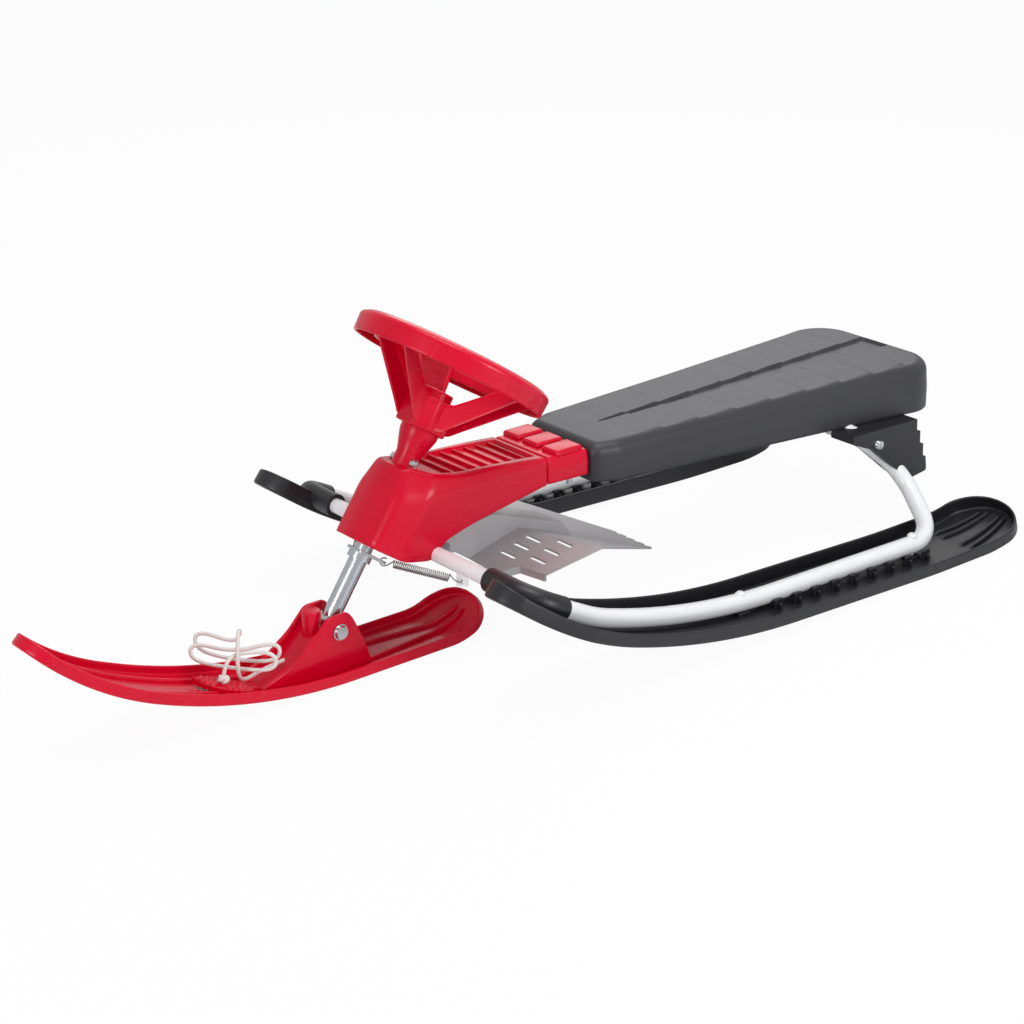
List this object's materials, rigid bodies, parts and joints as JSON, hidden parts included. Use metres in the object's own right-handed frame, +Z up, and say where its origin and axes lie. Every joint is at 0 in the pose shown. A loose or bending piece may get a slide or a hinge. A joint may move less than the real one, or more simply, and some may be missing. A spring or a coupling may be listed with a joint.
{
  "type": "steering sled",
  "caption": "Low snow sled with two fixed rear skis on a bent tube frame, a shell seat and console, a hinged claw brake and a raked wheel steering a pivoted front ski.",
  "frame": {"origin": "centre of the sled's footprint on the floor, at the underside of the skis", "axes": "+X forward towards the front ski's tip, +Y to the rider's left, +Z up"},
  "size_m": [1.17, 0.48, 0.3543],
  "materials": {
    "black_moulding": "satin",
    "seat_moulding": "satin",
    "red_moulding": "gloss",
    "white_paint": "gloss powder coat",
    "zinc": "bright zinc plate",
    "grey_sheet": "matt",
    "nylon": "satin",
    "spring_steel": "bright",
    "cord": "braided"
  },
  "bodies": {
    "frame": {"cross_tube": "white_paint", "rear_cross_tube": "white_paint", "rear_saddles": "white_paint", "head_tube": "white_paint", "lower_bush": "nylon", "upper_bush": "nylon", "head_gussets": "white_paint", "left_rear_ski": "black_moulding", "right_rear_ski": "black_moulding", "left_ski_bolts": "white_paint", "right_ski_bolts": "white_paint", "left_ski_cap": "black_moulding", "right_ski_cap": "black_moulding", "seat_shell": "seat_moulding", "seat_bolts": "zinc", "spine_rail": "white_paint", "left_rear_support": "black_moulding", "right_rear_support": "black_moulding", "support_bolts": "zinc", "left_side_tube": "white_paint", "right_side_tube": "white_paint", "console_front": "red_moulding", "console_rear": "red_moulding", "front_bar": "zinc", "front_bar_bolts": "zinc", "brake_hangers": "white_paint", "brake_pin": "zinc", "left_return_spring": "spring_steel", "right_return_spring": "spring_steel", "spring_anchors": "zinc", "brake_spring": "spring_steel"},
    "steering": {"steering_shaft": "zinc", "shaft_eye": "zinc", "steering_neck": "red_moulding", "neck_bolt": "zinc", "steering_wheel": "red_moulding", "wheel_nut": "red_moulding", "spring_bracket": "zinc"},
    "runner": {"front_ski": "red_moulding", "ski_pivot_bolt": "zinc", "cord_handle": "red_moulding", "cord_knot": "cord", "pull_cord": "cord"},
    "brake": {"brake_plate": "grey_sheet"}
  },
  "joints": [
    {"name": "steering_turn", "type": "hinge", "parent": "frame", "child": "steering", "pos_m": [0.2376, 0, 0.056], "axis": [-0.5577, 0, 0.83], "range_deg": [-30, 30], "stiffness_Nm_per_rad": 2, "deforming": ["left_return_spring", "right_return_spring"]},
    {"name": "runner_pitch", "type": "hinge", "parent": "steering", "child": "runner", "pos_m": [0.24298, 0, 0.048], "axis": [0, -1, 0], "range_deg": [-5, 18]},
    {"name": "brake_press", "type": "hinge", "parent": "frame", "child": "brake", "pos_m": [0.112, 0, 0.104], "axis": [0, -1, 0], "range_deg": [0, 7], "stiffness_Nm_per_rad": 30, "springref_deg": -4.58, "deforming": ["brake_spring"]}
  ]
}
